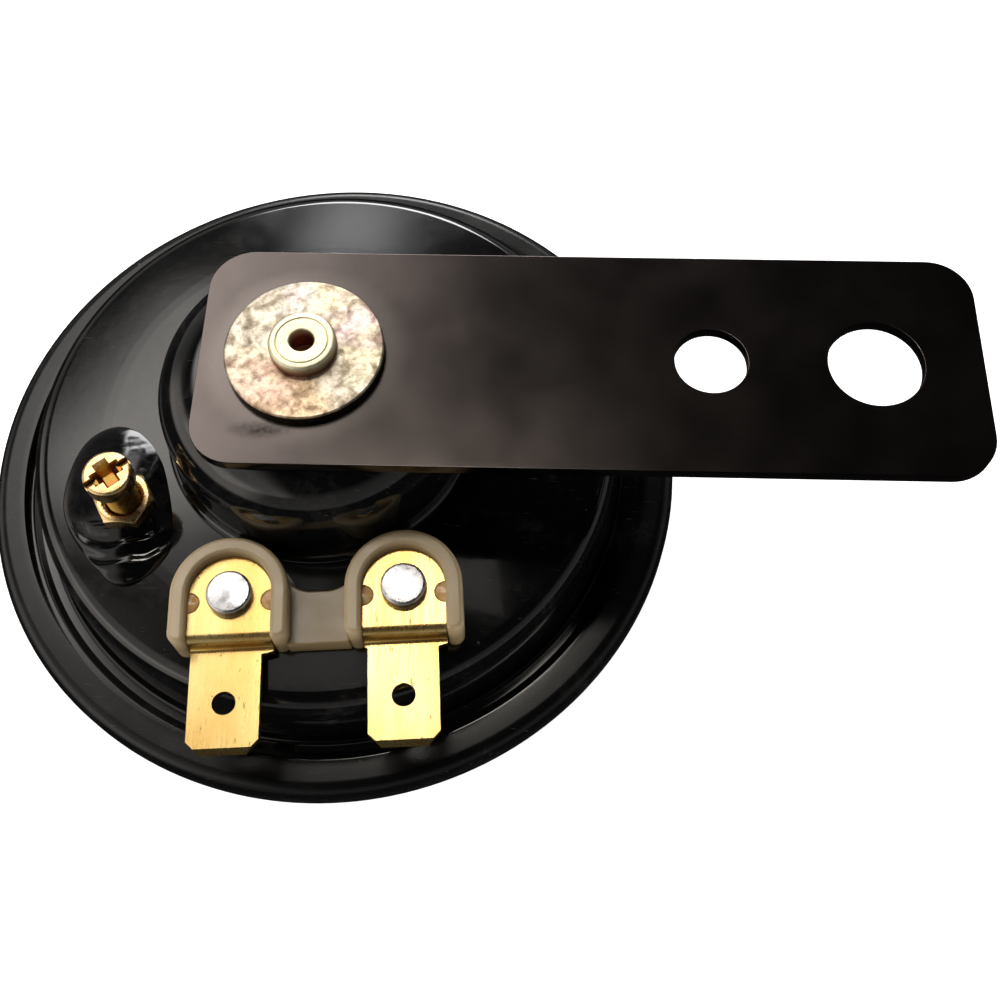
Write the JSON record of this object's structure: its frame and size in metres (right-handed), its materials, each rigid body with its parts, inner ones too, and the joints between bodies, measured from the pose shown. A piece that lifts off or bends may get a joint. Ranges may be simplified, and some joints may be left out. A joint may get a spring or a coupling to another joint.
{
  "type": "car horn",
  "caption": "Small electromagnetic disc horn: crimped steel case with a coil boss, flat riveted mounting strip drilled for bolts, spade terminals and a sealed adjusting screw.",
  "frame": {"origin": "centre of the larger bracket hole, on the bracket's underside, which is the plane of its seat on the horn", "axes": "+Z out of the back of the horn along the bolt, +X along the bracket away from the horn, whose own axis stands at x = -50.5 mm"},
  "size_m": [0.095, 0.07, 0.0311],
  "materials": {
    "black_enamel": "gloss black stoved enamel on pressed steel",
    "bracket_enamel": "satin black enamel on flat steel strip",
    "zinc_passivated": "zinc plate with a patchy iridescent passivation",
    "zinc_core": "pale yellow zinc plate on the peened core",
    "zinc_fastener": "yellow passivated zinc plate on screw and nut",
    "brass_sheet": "bright rolled brass sheet",
    "bright_rivet": "bright headed rivet",
    "natural_nylon": "moulded natural nylon, slightly translucent",
    "black_sealant": "hardened gloss black locking sealant",
    "spring_steel": "rolled spring steel",
    "soft_iron": "turned soft iron, oiled",
    "gasket_sheet": "rubber-bound gasket sheet",
    "moulded_brown": "moulded phenolic",
    "enamelled_copper": "enamelled copper wire",
    "spring_bronze": "rolled phosphor bronze",
    "contact_silver": "silver contact rivet"
  },
  "bodies": {
    "horn": {"mounting_bracket": "bracket_enamel", "bracket_washer": "zinc_passivated", "pole_core": "zinc_core", "rear_housing": "black_enamel", "rear_gasket": "gasket_sheet", "diaphragm": "spring_steel", "front_gasket": "gasket_sheet", "front_cover": "black_enamel", "coil_bobbin": "moulded_brown", "coil_winding": "enamelled_copper", "flux_ring": "soft_iron", "terminal_left": "brass_sheet", "terminal_right": "brass_sheet", "terminal_rivet_left": "bright_rivet", "terminal_rivet_right": "bright_rivet", "terminal_insulator": "natural_nylon", "inner_insulator": "moulded_brown", "moving_contact_arm": "spring_bronze", "moving_contact": "contact_silver", "arm_spacer": "moulded_brown", "fixed_contact_arm": "spring_bronze", "fixed_contact": "contact_silver", "stack_rivet": "bright_rivet", "coil_tag": "brass_sheet", "coil_lead_start": "enamelled_copper", "coil_lead_end": "enamelled_copper", "adjusting_screw": "zinc_fastener", "lock_nut": "zinc_fastener", "adjuster_button": "moulded_brown", "screw_sealant": "black_sealant"},
    "armature": {"armature": "soft_iron", "diaphragm_spacer": "soft_iron", "tone_disc": "spring_steel"}
  },
  "joints": [
    {"name": "armature_stroke", "type": "slide", "parent": "horn", "child": "armature", "axis": [0, 0, 1], "range_m": [0, 0.0004], "stiffness_N_per_m": 2000, "deforming": ["diaphragm", "moving_contact_arm"]}
  ]
}
